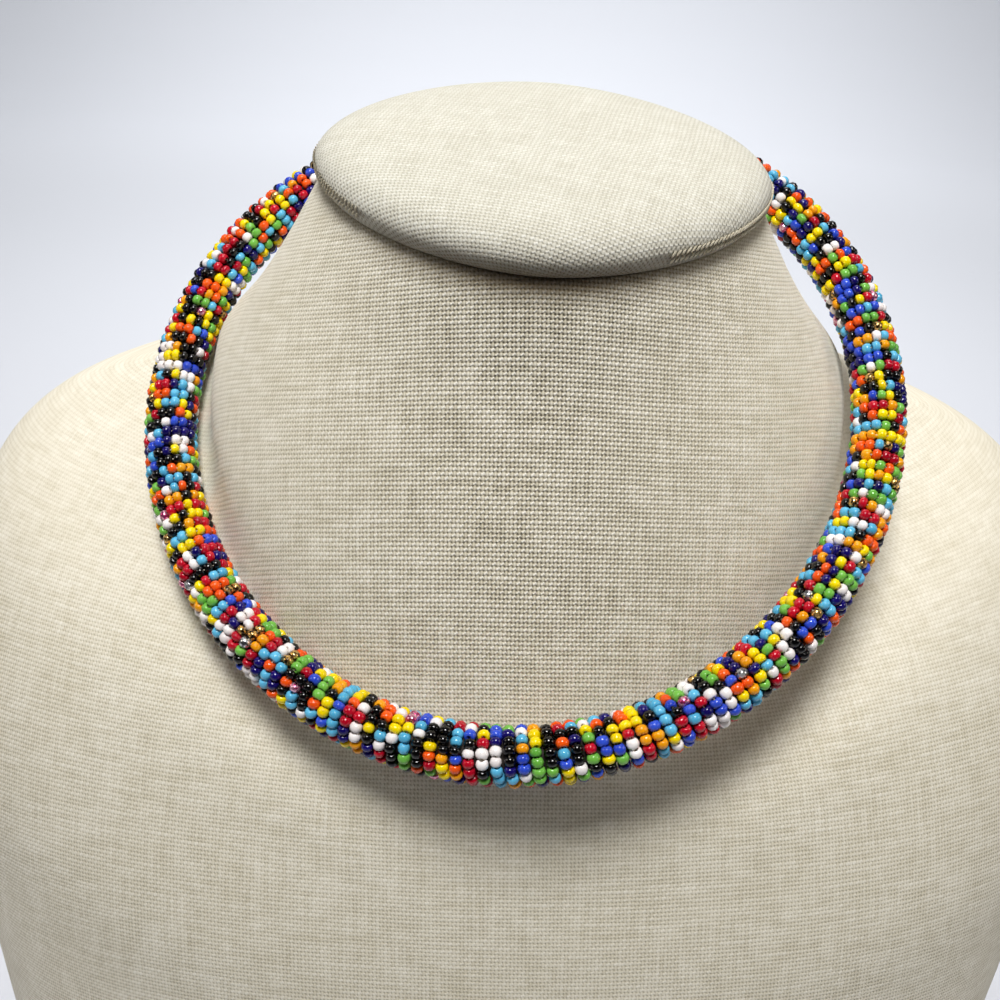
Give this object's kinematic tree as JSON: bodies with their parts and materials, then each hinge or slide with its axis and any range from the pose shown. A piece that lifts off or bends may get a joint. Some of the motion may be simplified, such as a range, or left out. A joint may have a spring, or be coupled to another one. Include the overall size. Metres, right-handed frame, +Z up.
{
  "type": "beaded rope collar necklace on a neck bust",
  "caption": "Stiff round collar necklace covered with rings of multicoloured seed beads, held on a linen-covered display bust.",
  "frame": {"origin": "middle of the bust's flat base, on the surface that it stands on", "axes": "+Z up, -Y towards the front of the chest, +X to the viewer's right from the front"},
  "size_m": [0.264, 0.1194, 0.3056],
  "materials": {
    "linen": "plain linen weave, matte",
    "pad_linen": "plain linen weave, matte, stretched over padding",
    "seed_beads": "opaque glossy glass seed beads in mixed colours",
    "clasp_metal": "polished, slightly dulled"
  },
  "bodies": {
    "root": {"bust_body": "linen", "neck_pad": "pad_linen", "beaded_rope": "seed_beads", "clasp": "clasp_metal"}
  },
  "joints": []
}
